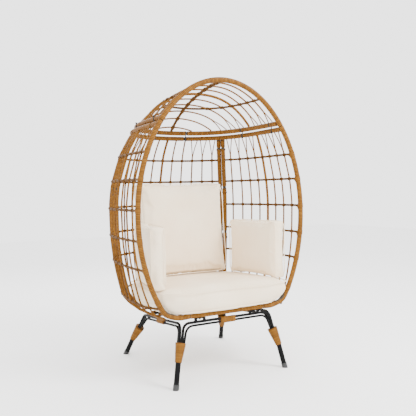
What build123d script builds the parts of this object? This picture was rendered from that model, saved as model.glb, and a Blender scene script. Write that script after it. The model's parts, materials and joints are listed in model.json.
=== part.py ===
"""Egg chair on four splayed legs: wrapped-tube basket in four bolted panels, on a steel base.

Everything is in millimetres, +Z up.  While it is being built, Y runs backwards from the
plane of the front rim, and the last step moves the whole chair so that the origin is the
centre of its footprint on the ground.
"""
from build123d import *
from math import atan2, cos, degrees, hypot, pi, radians, sin, sqrt, tan
import os

os.makedirs("parts", exist_ok=True)

# ---- overall sizes ----
OVERALL_WIDTH = 914.0
OVERALL_HEIGHT = 1422.0
SEAT_BAR_HEIGHT = 314.0        # centre of the bar under the seat's front edge
FLOOR_SLOPE = 0.04             # the seat floor drops this much for each millimetre backwards
RAIL_SLOPE = 0.10              # and so do the base rails, because the rear legs are shorter

# ---- wrapped tubes, rods and strands ----
BAR_TUBE = 20.0                # outside of the steel tube inside each wrapped bar
BAR_TUBE_WALL = 1.2
BAR_WRAP = 2.5                 # thickness of the wicker wound round that tube
ROD = 9.0                      # thin wrapped upright
THICK_ROD = 14.0
RING = 12.0                    # wrapped horizontal ring
SPINE = 17.0                   # knotted spine of the hood
EMBED = 1.0                    # how far a welded end reaches into what it is welded to

# ---- egg: the rim's outline and the basket behind it ----
WIDEST_HEIGHT = 775.0
RIM_LOWER_REACH = 650.0        # lower semi-axis of the rim's ellipse
BAR_JOINT = 205.0              # half length of the bar bolted between the two rim sides
RIM_BEND_START = 70.0          # the rim leaves its ellipse this far above the bar
RIM_BEND_RISE = 22.0
RIM_BEND_INNER = 260.0         # where the bend meets the straight bar
RIM_BEND_OUTER = 322.0
BASKET_LOWER_REACH = 850.0     # lower semi-axis of the basket's side, which is fuller
BASKET_DEPTH = 790.0
DEEPEST_HEIGHT = 660.0
HOOD_POWER = 3.2               # how boxy the hood is, seen from the side
BASKET_LOWER_DROP = 1200.0     # lower semi-axis of the basket's back
RIM_BLEND = 130.0              # the rings swell from the rim to the basket over this depth
PANEL_CORNER = 0.38            # share of a ring's half length that the back panel takes

# ---- panels ----
SEAM_HEIGHT = 1208.0
SEAM_GAP = 3.0                 # between the two bars of a seam
RING_HEIGHTS = (1071.0, 947.0, 809.0, 672.0, 541.0)
MID_TURN_HEIGHT = 450.0         # the uprights bend between here and the lowest ring
TURN_HEIGHT = 363.0            # lowest ring, where the uprights turn in under the seat
BACK_RODS_PER_HALF = 5
SIDE_RODS = 8
SIDE_THICK_ROD = 4             # counted from the back corner, starting at 0
HOOD_RING_HEIGHT = 1335.0
HOOD_ARCH_PITCH = 64.0
HOOD_ARCHES = 9
HOOD_THICK_ARCH = 3            # counted from the rim, starting at 0

# ---- seat floor ----
FLOOR_HALF_WIDTH = 325.0
FLOOR_DEPTH = 690.0
SLATS = 7
SLAT_PITCH = 74.0
CROSS_RODS = 4

# ---- base ----
BASE_FRONT = 0.0               # front rails, from the rim's plane
BASE_REAR = 471.0
BASE_HALF_WIDTH = 245.0
BASE_CORNER_RADIUS = 34.0
UPPER_BOW = 13.0
LOWER_BOW = 11.0
BOW_GAP = 3.0
SEAT_CLEARANCE = 12.0          # between the upper rails and the bars of the seat
FOOT_SPAN_X = 604.0
FOOT_SPAN_Y = 650.0
FOOT_FRONT = -46.0             # front feet, from the rim's plane
LEG_TUBE = 25.0
LEG_TUBE_WALL = 1.5
COLLAR_LENGTH = 84.0
COLLAR_TOP_RADIUS = 25.0
COLLAR_WALL = 2.0
COLLAR_FROM_RAIL = 88.0        # down the leg from the rail to the collar's top
CAP_WALL = 1.6
CAP_LENGTH = 24.0
CAP_FLOOR = 4.0
RAIL_WRAP_LENGTH = 78.0
RAIL_WRAP = 2.2

# ---- fasteners ----
SEAM_BOLT = 6.0
BOLT_HEAD = 10.0
BOLT_HEAD_HEIGHT = 4.0
HEAD_SKIN = 0.3                # wicker left between a bolt's head or nut and the steel tube
NUT_CLEARANCE = 0.15           # radial, between a bolt and the hole it passes through
BRACKET_LENGTH = 54.0          # saddle welded on a rail, with the bolt in its middle
BRACKET_WIDTH = 15.0
BRACKET_FOOT = 9.0
BRACKET_PLATE = 3.0
BRACKET_INSET = 95.0           # from a base corner to the middle of the saddle
SPIGOT_CLEARANCE = 0.2         # all round, between a joining peg and the bore of its tubes
SPIGOT_LENGTH = 50.0           # pegs join the tubes where two bars meet end to end
SPIGOT_EASE = 2.5              # thinner at the seam, because the rim is curved there
SEAM_BOLT_SHARES = (0.12, 0.58, 0.90)
CORNER_BOLT_HEIGHTS = (1130.0, 880.0, 610.0)

# ---- cushions ----
SEAT_THICKNESS = 104.0
SEAT_OVERHANG = 62.0           # in front of the rim's plane
SEAT_DEPTH = 620.0
SEAT_WIDEST = 150.0            # depth at which the cushion is widest
# level in the cushion, gap from its side to the rim at its widest, squareness of its front
SEAT_OUTLINES = ((0.0, 124.5, 3.0), (0.45, 88.5, 3.3), (1.0, 78.5, 4.0))
CUSHION_GAP = 1.5
BACK_CUSHION = 512.0
BACK_CUSHION_THICKNESS = 160.0
BACK_CUSHION_FRONT = 404.0     # foot of its front face, from the rim's plane
BACK_CUSHION_LEAN = 5.5        # degrees
PILLOW_LENGTH = 370.0
PILLOW_HEIGHT = 300.0
PILLOW_THICKNESS = 84.0
PILLOW_FRONT = 22.0
PILLOW_TURN = 10.0             # degrees, so that each pillow follows its side panel
PILLOW_SETBACK = 146.5         # from the rim at its widest to the inner face of a pillow
CUSHION_EDGE = 24.0

# ---- values that follow ----
BAR = BAR_TUBE + 2 * BAR_WRAP
RIM_HALF_WIDTH = OVERALL_WIDTH / 2 - BAR / 2
PILLOW_INNER = RIM_HALF_WIDTH - PILLOW_SETBACK
SPIGOT = BAR_TUBE - 2 * BAR_TUBE_WALL - 2 * SPIGOT_CLEARANCE
CROWN_HEIGHT = OVERALL_HEIGHT - BAR / 2
SEAM_OFFSET = (BAR + SEAM_GAP) / 2
UPPER_BAR_HEIGHT = SEAM_HEIGHT + SEAM_OFFSET
LOWER_BAR_HEIGHT = SEAM_HEIGHT - SEAM_OFFSET
HEAD_SINK = BAR_WRAP - HEAD_SKIN
SEAT_LIFT = BAR / 2 + BOLT_HEAD_HEIGHT - HEAD_SINK + CUSHION_GAP
SIDES = {"left": -1, "right": 1}


# ---- shape of the egg ----
def ellipse_share(offset, reach):
    """Width of an ellipse at an offset from its centre, as a share of its full width."""
    return sqrt(max(0.0, 1.0 - (offset / reach) ** 2))


def rim_half_width(z):
    """Half width of the front rim's centre line at height z."""
    reach = CROWN_HEIGHT - WIDEST_HEIGHT if z > WIDEST_HEIGHT else RIM_LOWER_REACH
    return RIM_HALF_WIDTH * ellipse_share(z - WIDEST_HEIGHT, reach)


def basket_half_width(z):
    """Half width of the basket behind the rim, which stays fuller towards the seat."""
    reach = CROWN_HEIGHT - WIDEST_HEIGHT if z > WIDEST_HEIGHT else BASKET_LOWER_REACH
    return RIM_HALF_WIDTH * ellipse_share(z - WIDEST_HEIGHT, reach)


def basket_depth(z):
    """Depth of the basket's back behind the rim at height z."""
    if z <= DEEPEST_HEIGHT:
        return BASKET_DEPTH * ellipse_share(z - DEEPEST_HEIGHT, BASKET_LOWER_DROP)
    rise = min(1.0, (z - DEEPEST_HEIGHT) / (CROWN_HEIGHT - DEEPEST_HEIGHT))
    return BASKET_DEPTH * sqrt(1.0 - rise ** HOOD_POWER)


def basket_x(y, z):
    """Half width of the basket at depth y and height z, with its flat sides and round back."""
    share = min(1.0, y / basket_depth(z))
    swell = basket_half_width(z) - rim_half_width(z)
    fade = max(0.0, 1.0 - y / RIM_BLEND) ** 2
    return basket_half_width(z) * sqrt(1.0 - share ** 4) - swell * fade


def floor_height(y):
    """Height of the seat floor's centre line at depth y."""
    return SEAT_BAR_HEIGHT - FLOOR_SLOPE * y


def half_ring(z, steps=240):
    """Fine points of one half ring, from the middle of the back to the rim, with run lengths."""
    depth = basket_depth(z)
    points = []
    for i in range(steps + 1):
        y = depth * cos(pi / 2 * i / steps)
        points.append((basket_x(y, z), y))
    runs = [0.0]
    for a, b in zip(points, points[1:]):
        runs.append(runs[-1] + hypot(b[0] - a[0], b[1] - a[1]))
    return points, runs


def ring_point(z, share, offset=0.0, side=1):
    """Point on the ring at height z, at a share of the half length plus an offset in mm."""
    points, runs = half_ring(z)
    wanted = min(max(share * runs[-1] + offset, 0.0), runs[-1])
    i = max(k for k, run in enumerate(runs) if run <= wanted)
    i = min(i, len(runs) - 2)
    part = (wanted - runs[i]) / (runs[i + 1] - runs[i])
    x = points[i][0] + part * (points[i + 1][0] - points[i][0])
    y = points[i][1] + part * (points[i + 1][1] - points[i][1])
    return Vector(side * x, y, z)


# ---- tubes along smooth lines ----
def turn_angle(a, b, c):
    """Turn in degrees at b on the way from a to c."""
    return (b - a).get_angle(c - b)


def smooth_line(points):
    """A line through the points' neighbourhood: straight runs joined by tangent arcs."""
    kept = [Vector(*p) for p in points]
    i = 1
    while i < len(kept) - 1:
        if turn_angle(kept[i - 1], kept[i], kept[i + 1]) < 0.4:
            del kept[i]
        else:
            i += 1
    if len(kept) == 2:
        return Line(kept[0], kept[1])
    radii = []
    for a, b, c in zip(kept, kept[1:], kept[2:]):
        shorter = min((b - a).length, (c - b).length)
        radii.append(0.45 * shorter / tan(radians(turn_angle(a, b, c)) / 2))
    return FilletPolyline(*kept, radius=radii)


def tube(points, diameter, bore=0.0):
    """A round bar along the points, or a hollow one when it has a bore."""
    path = smooth_line(points)
    start = Plane(path @ 0, z_dir=path % 0)
    face = Face(Wire(Edge.make_circle(diameter / 2, start)))
    if bore:
        face = face - Face(Wire(Edge.make_circle(bore / 2, start)))
        face = face.faces()[0]
    return sweep(face, path=path)


def wrapped_bar(points):
    """The two pieces of a wrapped bar: its steel tube and the wicker wound round it."""
    steel = tube(points, BAR_TUBE, BAR_TUBE - 2 * BAR_TUBE_WALL)
    wicker = tube(points, BAR, BAR_TUBE)
    return steel, wicker


# ---- the nodes, filled in below ----
nodes = {}


def add(name, *solids):
    """Add solids to a node."""
    for shape in solids:
        nodes.setdefault(name, []).extend(shape.solids())


# ---- rim ----
def rim_side_points(side):
    """Rim's centre line from the seam down one side, round the corner and under the seat."""
    points = []
    steps = 9
    top = SEAM_HEIGHT - SEAM_GAP / 2
    bottom = SEAT_BAR_HEIGHT + RIM_BEND_START
    for i in range(steps + 1):
        z = top + (bottom - top) * i / steps
        points.append((side * rim_half_width(z), 0, z))
    points.append((side * RIM_BEND_OUTER, 0, SEAT_BAR_HEIGHT + RIM_BEND_RISE))
    points.append((side * RIM_BEND_INNER, 0, SEAT_BAR_HEIGHT))
    points.append((side * BAR_JOINT, 0, SEAT_BAR_HEIGHT))
    return points


def make_rim():
    """The rim: an arch on the hood, a side on each side panel and the bar under the seat."""
    start = atan2(SEAM_HEIGHT + SEAM_GAP / 2 - WIDEST_HEIGHT,
                  rim_half_width(SEAM_HEIGHT) / RIM_HALF_WIDTH * (CROWN_HEIGHT - WIDEST_HEIGHT))
    steps = 12
    arch = []
    for i in range(steps + 1):
        angle = start + (pi - 2 * start) * i / steps
        rise = (CROWN_HEIGHT - WIDEST_HEIGHT) * sin(angle)
        arch.append((RIM_HALF_WIDTH * cos(angle), 0, WIDEST_HEIGHT + rise))
    steel, wicker = wrapped_bar(arch)
    add("hood_frame_tube", steel)
    add("hood_rim_wrap", wicker)
    steel, wicker = wrapped_bar(rim_side_points(1))
    add("right_panel_frame_tube", steel)
    add("right_rim_wrap", wicker)
    reach = BAR_JOINT - SEAM_GAP / 2
    steel, wicker = wrapped_bar([(-reach, 0, SEAT_BAR_HEIGHT), (reach, 0, SEAT_BAR_HEIGHT)])
    add("seat_front_tube", steel)
    add("seat_front_wrap", wicker)


# ---- bars along the seams ----
def level_bar(z, first, last, side, count):
    """Points of a level bar on one side, between two (share, offset) places on its ring."""
    points = []
    for i in range(count + 1):
        t = i / count
        share = first[0] + (last[0] - first[0]) * t
        offset = first[1] + (last[1] - first[1]) * t
        points.append(ring_point(z, share, offset, side))
    return points


def make_seam_bars():
    """Bars along the seam: one under the hood, and one on top of each panel."""
    to_rim = (1.0, -(BAR / 2 - EMBED))
    half = level_bar(UPPER_BAR_HEIGHT, (0.0, 0.0), to_rim, 1, 18)
    mirrored = [Vector(-p.X, p.Y, p.Z) for p in reversed(half[1:])]
    steel, wicker = wrapped_bar(mirrored + half)
    add("hood_frame_tube", steel)
    add("hood_seam_wrap", wicker)
    corner = (PANEL_CORNER, -SEAM_GAP / 2)
    half = level_bar(LOWER_BAR_HEIGHT, (0.0, 0.0), corner, 1, 8)
    mirrored = [Vector(-p.X, p.Y, p.Z) for p in reversed(half[1:])]
    steel, wicker = wrapped_bar(mirrored + half)
    add("back_panel_frame_tube", steel)
    add("back_panel_top_wrap", wicker)
    points = level_bar(LOWER_BAR_HEIGHT, (PANEL_CORNER, SEAM_GAP / 2), to_rim, 1, 11)
    steel, wicker = wrapped_bar(points)
    add("right_panel_frame_tube", steel)
    add("right_panel_top_wrap", wicker)


def upright_points(share, offset, side, top):
    """Points of an upright, from a height down the basket and in to the edge of the floor."""
    heights = sorted({top, *RING_HEIGHTS, *CORNER_BOLT_HEIGHTS, MID_TURN_HEIGHT, TURN_HEIGHT})
    points = [ring_point(z, share, offset, side) for z in reversed(heights) if z <= top]
    turn = points[-1]
    foot = floor_edge(turn, side)
    bend = turn + (foot - turn) * 0.42
    points.append(Vector(bend.X, bend.Y, turn.Z + (foot.Z - turn.Z) * 0.62))
    points.append(foot)
    return points


def floor_edge(turn, side):
    """Place on the floor's edge that an upright reaches from its point on the lowest ring."""
    along = turn.Y / basket_depth(TURN_HEIGHT)
    across = min(1.0, abs(turn.X) / basket_half_width(TURN_HEIGHT))
    angle = atan2(along, across)
    y = FLOOR_DEPTH * superellipse_reach(angle) * sin(angle)
    x = FLOOR_HALF_WIDTH * superellipse_reach(angle) * cos(angle)
    if abs(turn.X) < 1e-6:
        x = 0.0
    return Vector(side * x, y, floor_height(y))


def superellipse_reach(angle):
    """Distance from the centre to the unit outline x^2 + y^4 = 1 at an angle."""
    low, high = 0.9, 1.5
    for _ in range(40):
        middle = (low + high) / 2
        inside = (middle * cos(angle)) ** 2 + (middle * sin(angle)) ** 4 < 1.0
        low, high = (middle, high) if inside else (low, middle)
    return low


def make_corner_bars():
    """Upright bars along the seams between the back panel and the side panels."""
    top = LOWER_BAR_HEIGHT - BAR / 2 + EMBED
    steel, wicker = wrapped_bar(upright_points(PANEL_CORNER, -SEAM_OFFSET, 1, top))
    add("back_panel_frame_tube", steel)
    add("back_panel_right_wrap", wicker)
    steel, wicker = wrapped_bar(upright_points(PANEL_CORNER, SEAM_OFFSET, 1, top))
    add("right_panel_frame_tube", steel)
    add("right_panel_rear_wrap", wicker)


# ---- uprights ----
def make_uprights():
    """Thin and thick uprights of the back panel and of both side panels."""
    top = LOWER_BAR_HEIGHT - BAR / 2 + EMBED
    add("back_panel_spine", tube(upright_points(0.0, 0.0, 1, top), THICK_ROD))
    for side in SIDES.values():
        for i in range(BACK_RODS_PER_HALF):
            share = PANEL_CORNER * (i + 1) / (BACK_RODS_PER_HALF + 1)
            add("back_panel_rods", tube(upright_points(share, 0.0, side, top), ROD))
    for i in range(SIDE_RODS):
        share = PANEL_CORNER + (1.0 - PANEL_CORNER) * (i + 1) / (SIDE_RODS + 1)
        points = upright_points(share, 0.0, 1, top)
        if i == SIDE_THICK_ROD:
            add("right_panel_thick_rod", tube(points, THICK_ROD))
        else:
            add("right_panel_rods", tube(points, ROD))


# ---- rings ----
def make_rings():
    """Level rings of each panel, and the lowest ring where the uprights turn in."""
    gap = SEAM_OFFSET + BAR / 2 - EMBED
    for z in RING_HEIGHTS + (TURN_HEIGHT,):
        half = level_bar(z, (0.0, 0.0), (PANEL_CORNER, -gap), 1, 7)
        mirrored = [Vector(-p.X, p.Y, p.Z) for p in reversed(half[1:])]
        add("back_panel_rings", tube(mirrored + half, RING))
        to_rim = (1.0, -(BAR / 2 - EMBED))
        points = level_bar(z, (PANEL_CORNER, gap), to_rim, 1, 10)
        add("right_panel_rings", tube(points, RING))


# ---- hood ----
def arch_points(y, low):
    """Points of a hood arch at depth y, from one end on the seam bar to the other."""
    share = (y / BASKET_DEPTH) ** 2
    rise = (1.0 - share) ** (1.0 / HOOD_POWER)
    top = DEEPEST_HEIGHT + (CROWN_HEIGHT - DEEPEST_HEIGHT) * rise
    half = []
    steps = 7
    for i in range(steps + 1):
        z = low + (top - low) * sin(pi / 2 * i / steps)
        x = 0.0 if i == steps else basket_x(y, z)
        half.append(Vector(x, y, z))
    mirrored = [Vector(-p.X, p.Y, p.Z) for p in half[:-1]]
    return mirrored + list(reversed(half))


def spine_points():
    """Points of the hood's spine, from the seam bar over the top to the rim."""
    points = []
    low = UPPER_BAR_HEIGHT + BAR / 2 - EMBED
    start = (low - DEEPEST_HEIGHT) / (CROWN_HEIGHT - DEEPEST_HEIGHT)
    depth = basket_depth(low)
    steps = 9
    for i in range(steps + 1):
        y = depth + (BAR / 2 - EMBED - depth) * i / steps
        rise = (1.0 - (y / BASKET_DEPTH) ** 2) ** (1.0 / HOOD_POWER)
        rise = max(rise, start)
        points.append(Vector(0, y, DEEPEST_HEIGHT + (CROWN_HEIGHT - DEEPEST_HEIGHT) * rise))
    return points


def make_hood():
    """Arches, ring and spine of the hood."""
    low = UPPER_BAR_HEIGHT + BAR / 2 - EMBED
    for i in range(HOOD_ARCHES):
        diameter = THICK_ROD if i == HOOD_THICK_ARCH else ROD
        add("hood_arches", tube(arch_points(HOOD_ARCH_PITCH * (i + 1), low), diameter))
    half = level_bar(HOOD_RING_HEIGHT, (0.0, 0.0), (1.0, -(BAR / 2 - EMBED)), 1, 12)
    mirrored = [Vector(-p.X, p.Y, p.Z) for p in reversed(half[1:])]
    add("hood_ring", tube(mirrored + half, RING))
    add("hood_spine", tube(spine_points(), SPINE))


# ---- seat floor ----
def make_floor():
    """Edge ring, rear bar, slats and cross rods under the seat cushion."""
    edge = []
    steps = 16
    for i in range(steps + 1):
        angle = pi * i / steps
        reach = superellipse_reach(min(angle, pi - angle))
        y = max(FLOOR_DEPTH * reach * sin(angle), BAR / 2 - EMBED)
        edge.append(Vector(FLOOR_HALF_WIDTH * reach * cos(angle), y, floor_height(y)))
    add("seat_edge_ring", tube(edge, THICK_ROD))
    reach = FLOOR_HALF_WIDTH * sqrt(1.0 - (BASE_REAR / FLOOR_DEPTH) ** 4) - THICK_ROD / 2 + EMBED
    z = floor_height(BASE_REAR)
    steel, wicker = wrapped_bar([(-reach, BASE_REAR, z), (reach, BASE_REAR, z)])
    add("seat_rear_tube", steel)
    add("seat_rear_wrap", wicker)
    for i in range(SLATS):
        x = SLAT_PITCH * (i - (SLATS - 1) / 2)
        back = FLOOR_DEPTH * (1.0 - (x / FLOOR_HALF_WIDTH) ** 2) ** 0.25 - THICK_ROD / 2 + EMBED
        front_run = (BAR / 2 - EMBED, BASE_REAR - BAR / 2 + EMBED)
        rear_run = (BASE_REAR + BAR / 2 - EMBED, back)
        for low, high in (front_run, rear_run):
            ends = [(x, low, floor_height(low)), (x, high, floor_height(high))]
            add("seat_slats", tube(ends, ROD))
    lift = ROD - EMBED
    for i in range(CROSS_RODS):
        y = BASE_REAR * (i + 1) / (CROSS_RODS + 1)
        reach = FLOOR_HALF_WIDTH * sqrt(1.0 - (y / FLOOR_DEPTH) ** 4) - THICK_ROD / 2
        z = floor_height(y) + lift
        add("seat_cross_rods", tube([(-reach, y, z), (reach, y, z)], ROD))


# ---- base ----
def rail_height(y):
    """Height of the upper rails' centre line at depth y."""
    return SEAT_BAR_HEIGHT - BAR / 2 - SEAT_CLEARANCE - UPPER_BOW / 2 - RAIL_SLOPE * y


def leg_axis(side, rear):
    """A leg's axis: its corner on the rails and its foot on the ground."""
    y = BASE_REAR if rear else BASE_FRONT
    foot_y = FOOT_FRONT + (FOOT_SPAN_Y if rear else 0.0)
    corner = Vector(side * BASE_HALF_WIDTH, y, rail_height(y))
    return corner, Vector(side * FOOT_SPAN_X / 2, foot_y, 0)


def down_leg(side, rear, distance):
    """Point on a leg's axis, a distance below its corner."""
    corner, foot = leg_axis(side, rear)
    return corner + (foot - corner).normalized() * distance


def leg_drop(rear):
    """Length from a corner down to the collar's top, shorter on the shorter rear legs."""
    front_corner, front_foot = leg_axis(1, False)
    corner, foot = leg_axis(1, rear)
    return COLLAR_FROM_RAIL * (foot - corner).length / (front_foot - front_corner).length


def bow(start_leg, end_leg, inset, drop, diameter, radius):
    """A bow: up out of one collar, along under the seat and down into the next collar."""
    ends = []
    for leg, other in ((start_leg, end_leg), (end_leg, start_leg)):
        corner, foot = leg_axis(*leg)
        along = (leg_axis(*other)[0] - corner).normalized()
        inward = Vector(along.X, along.Y, 0).normalized() * inset
        top = corner + along * (inset * 1.2) + Vector(0, 0, -drop)
        low = down_leg(leg[0], leg[1], leg_drop(leg[1]) + EMBED) + inward
        ends.append((low, top))
    (low_a, top_a), (low_b, top_b) = ends
    path = FilletPolyline(low_a, top_a, top_b, low_b, radius=radius)
    start = Plane(path @ 0, z_dir=path % 0)
    return sweep(Face(Wire(Edge.make_circle(diameter / 2, start))), path=path)


BASE_SIDES = {
    "front": ((-1, False), (1, False)),
    "rear": ((-1, True), (1, True)),
    "left": ((-1, False), (-1, True)),
    "right": ((1, False), (1, True)),
}


def make_bows():
    """Two nested bows on each side of the base, tied by a wicker wrap in the middle."""
    lower_drop = (UPPER_BOW + LOWER_BOW) / 2 + BOW_GAP
    for name, (a, b) in BASE_SIDES.items():
        upper = bow(a, b, UPPER_BOW * 0.72, 0.0, UPPER_BOW, BASE_CORNER_RADIUS)
        inset = UPPER_BOW * 0.72 + (UPPER_BOW + LOWER_BOW) / 2 + 0.5
        lower = bow(a, b, inset, lower_drop, LOWER_BOW, BASE_CORNER_RADIUS * 1.2)
        add(f"base_{name}_bows", upper, lower)
        start, end = leg_axis(*a)[0], leg_axis(*b)[0]
        middle = (start + end) * 0.5 + Vector(0, 0, -lower_drop / 2)
        plane = Plane(middle, x_dir=end - start, z_dir=Vector(0, 0, 1).cross(end - start))
        height = lower_drop + (UPPER_BOW + LOWER_BOW) / 2 + 2 * RAIL_WRAP
        width = UPPER_BOW + 2 * RAIL_WRAP
        band = plane * extrude(RectangleRounded(RAIL_WRAP_LENGTH, height, 5.0), width / 2, both=True)
        add("rail_wraps", band - upper - lower)


def make_legs():
    """Foot tube, wicker collar and cap of each leg."""
    for rear in (False, True):
        for name, side in SIDES.items():
            label = f"{'rear' if rear else 'front'}_{name}"
            corner, foot = leg_axis(side, rear)
            down = (foot - corner).normalized()
            top = down_leg(side, rear, leg_drop(rear))
            bottom = top + down * COLLAR_LENGTH
            lean_rise = LEG_TUBE / 2 * sqrt(1.0 - down.Z ** 2)
            low = foot + down * ((CAP_FLOOR + lean_rise) / down.Z)
            outer = tube([top + down * EMBED * 3, low], LEG_TUBE, LEG_TUBE - 2 * LEG_TUBE_WALL)
            add(f"{label}_foot_tube", outer)
            lean = Vector(-side, -1 if rear else 1, 0) * (UPPER_BOW * 0.62)
            upper_rim = Plane(top + lean, z_dir=down) * Circle(COLLAR_TOP_RADIUS)
            lower_rim = Plane(bottom, z_dir=down) * Circle(LEG_TUBE / 2 + COLLAR_WALL)
            bore = tube([top + down * EMBED * 3, bottom + down], LEG_TUBE)
            add(f"{label}_collar", loft([upper_rim, lower_rim]) - bore)
            radius = LEG_TUBE / 2 + CAP_WALL
            cap = tube([foot - down * CAP_LENGTH, foot + down * CAP_LENGTH], 2 * radius)
            above = Pos(foot.X, foot.Y, 50) * Box(200, 200, 100)
            hole = tube([foot - down * (CAP_LENGTH + 2), low], LEG_TUBE)
            add("foot_caps", (cap & above) - hole)


# ---- fasteners ----
def fasten(bolt_node, nut_node, centre, direction, grip, drilled):
    """A round-headed bolt and its nut round a grip length, with holes in what they clamp."""
    plane = Plane(centre, z_dir=Vector(*direction))
    shank_length = grip + BOLT_HEAD_HEIGHT + EMBED
    shank = plane.offset(-grip / 2 - BOLT_HEAD_HEIGHT - EMBED) * extrude(
        Circle(SEAM_BOLT / 2), shank_length)
    head = plane.offset(grip / 2) * extrude(Circle(BOLT_HEAD / 2), BOLT_HEAD_HEIGHT)
    nut = plane.offset(-grip / 2 - BOLT_HEAD_HEIGHT) * extrude(
        RegularPolygon(BOLT_HEAD / 2, 6), BOLT_HEAD_HEIGHT)
    hole_radius = SEAM_BOLT / 2 + NUT_CLEARANCE
    hole = plane.offset(-grip) * extrude(Circle(hole_radius), 2 * grip)
    pocket = Circle(BOLT_HEAD / 2 + NUT_CLEARANCE)
    pockets = plane.offset(grip / 2) * extrude(pocket, 2 * BOLT_HEAD_HEIGHT)
    pockets += plane.offset(-grip / 2) * extrude(pocket, -2 * BOLT_HEAD_HEIGHT)
    add(bolt_node, shank + head)
    add(nut_node, nut - hole)
    for name in drilled:
        cutter = hole + pockets if name.endswith("_wrap") else hole
        nodes[name] = [piece for solid in nodes[name] for piece in (solid - cutter).solids()]


def make_seam_bolts():
    """Bolts down through the level seam, and across the two corner seams."""
    grip = 2 * (BAR - HEAD_SINK) + SEAM_GAP
    for side in SIDES.values():
        for share in SEAM_BOLT_SHARES:
            panel = "back" if share < PANEL_CORNER else "right"
            centre = ring_point(SEAM_HEIGHT, share, 0.0, side)
            drilled = ("hood_frame_tube", "hood_seam_wrap",
                       f"{panel}_panel_frame_tube", f"{panel}_panel_top_wrap")
            fasten("seam_bolts", "seam_nuts", centre, (0, 0, 1), grip, drilled)
        for z in CORNER_BOLT_HEIGHTS:
            before = ring_point(z, PANEL_CORNER, -SEAM_OFFSET, side)
            after = ring_point(z, PANEL_CORNER, SEAM_OFFSET, side)
            drilled = ("right_panel_frame_tube", "right_panel_rear_wrap",
                       "back_panel_frame_tube", "back_panel_right_wrap")
            fasten("seam_bolts", "seam_nuts", (before + after) * 0.5, after - before, grip, drilled)


def make_spigots():
    """Pegs inside the tubes where the rim is joined at the seam and at the seat bar."""
    half = SPIGOT_LENGTH / 2
    for side in SIDES.values():
        low = Vector(side * rim_half_width(SEAM_HEIGHT - half), 0, SEAM_HEIGHT - half)
        high = Vector(side * rim_half_width(SEAM_HEIGHT + half), 0, SEAM_HEIGHT + half)
        middle = Vector(side * rim_half_width(SEAM_HEIGHT), 0, SEAM_HEIGHT)
        lean = (high - low).normalized()
        ends = [middle - lean * half, middle + lean * half]
        add("joint_spigots", tube(ends, SPIGOT - SPIGOT_EASE))
        inner = Vector(side * (BAR_JOINT - half), 0, SEAT_BAR_HEIGHT)
        outer = Vector(side * (BAR_JOINT + half), 0, SEAT_BAR_HEIGHT)
        add("joint_spigots", tube([inner, outer], SPIGOT))


def make_brackets():
    """Saddles on the front and rear rails, bolted up into the seat's front and rear bars."""
    for y, bar in ((BASE_FRONT, "seat_front"), (BASE_REAR, "seat_rear")):
        bar_bottom = floor_height(y) - BAR / 2
        rail_top = rail_height(y) + UPPER_BOW / 2
        for side in SIDES.values():
            x = side * (BASE_HALF_WIDTH - BRACKET_INSET)
            plate = Pos(x, y, bar_bottom - BRACKET_PLATE / 2) * Box(
                BRACKET_LENGTH, BRACKET_WIDTH, BRACKET_PLATE)
            low = rail_top - EMBED
            high = bar_bottom - BRACKET_PLATE
            saddle = plate
            for end in (-1, 1):
                foot_x = x + end * (BRACKET_LENGTH - BRACKET_FOOT) / 2
                saddle += Pos(foot_x, y, (low + high) / 2) * Box(
                    BRACKET_FOOT, BRACKET_WIDTH, high - low)
            add("base_brackets", saddle)
            grip = BAR + BRACKET_PLATE - HEAD_SINK
            centre = Vector(x, y, floor_height(y) + BAR / 2 - HEAD_SINK - grip / 2)
            drilled = (f"{bar}_tube", f"{bar}_wrap", "base_brackets")
            fasten("base_bolts", "base_nuts", centre, (0, 0, 1), grip, drilled)


# ---- cushions ----
def seat_outline(half_width, front_power, steps=7):
    """Closed outline of the seat cushion: squarer at the front, following the basket behind."""
    front = SEAT_WIDEST + SEAT_OVERHANG
    back = SEAT_DEPTH - SEAT_WIDEST
    half = []
    for i in range(steps):
        share = sin(pi / 2 * (1 - i / steps))
        x = half_width * sqrt(max(0.0, 1.0 - share ** front_power))
        half.append((x, SEAT_WIDEST - front * share))
    for i in range(steps + 1):
        share = sin(pi / 2 * i / steps)
        x = half_width * sqrt(max(0.0, 1.0 - share ** 4))
        half.append((x, SEAT_WIDEST + back * share))
    other_half = [(-x, y) for x, y in reversed(half[1:-1])]
    return Spline(*half, *other_half, periodic=True)


def make_seat_cushion():
    """D-shaped seat cushion, lying on the cross rods and hanging over the front bar."""
    origin = Vector(0, 0, SEAT_BAR_HEIGHT + SEAT_LIFT)
    base = Plane(origin, x_dir=(1, 0, 0), z_dir=(0, FLOOR_SLOPE, 1))
    sections = []
    for level, side_gap, power in SEAT_OUTLINES:
        outline = Wire(seat_outline(RIM_HALF_WIDTH - side_gap, power).edges())
        sections.append(base.offset(level * SEAT_THICKNESS) * Face(outline))
    add("seat_cushion", loft(sections))


def seat_top(y):
    """Height of the seat cushion's top at depth y."""
    return floor_height(y) + SEAT_LIFT + SEAT_THICKNESS


def rounded_slab(width, depth, height):
    """A cushion standing on its foot, with its long edges rounded."""
    slab = Pos(0, 0, height / 2) * Box(width, depth, height)
    return fillet(slab.edges().filter_by(Axis.Y), CUSHION_EDGE)


def make_back_cushion():
    """Square back cushion, standing on the seat cushion and leaning back."""
    slab = rounded_slab(BACK_CUSHION, BACK_CUSHION_THICKNESS, BACK_CUSHION)
    y = BACK_CUSHION_FRONT + BACK_CUSHION_THICKNESS / 2
    lift = seat_top(BACK_CUSHION_FRONT) + CUSHION_GAP
    lift += BACK_CUSHION_THICKNESS / 2 * sin(radians(BACK_CUSHION_LEAN))
    add("back_cushion", Pos(0, y, lift) * Rot(X=-BACK_CUSHION_LEAN) * slab)


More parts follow.
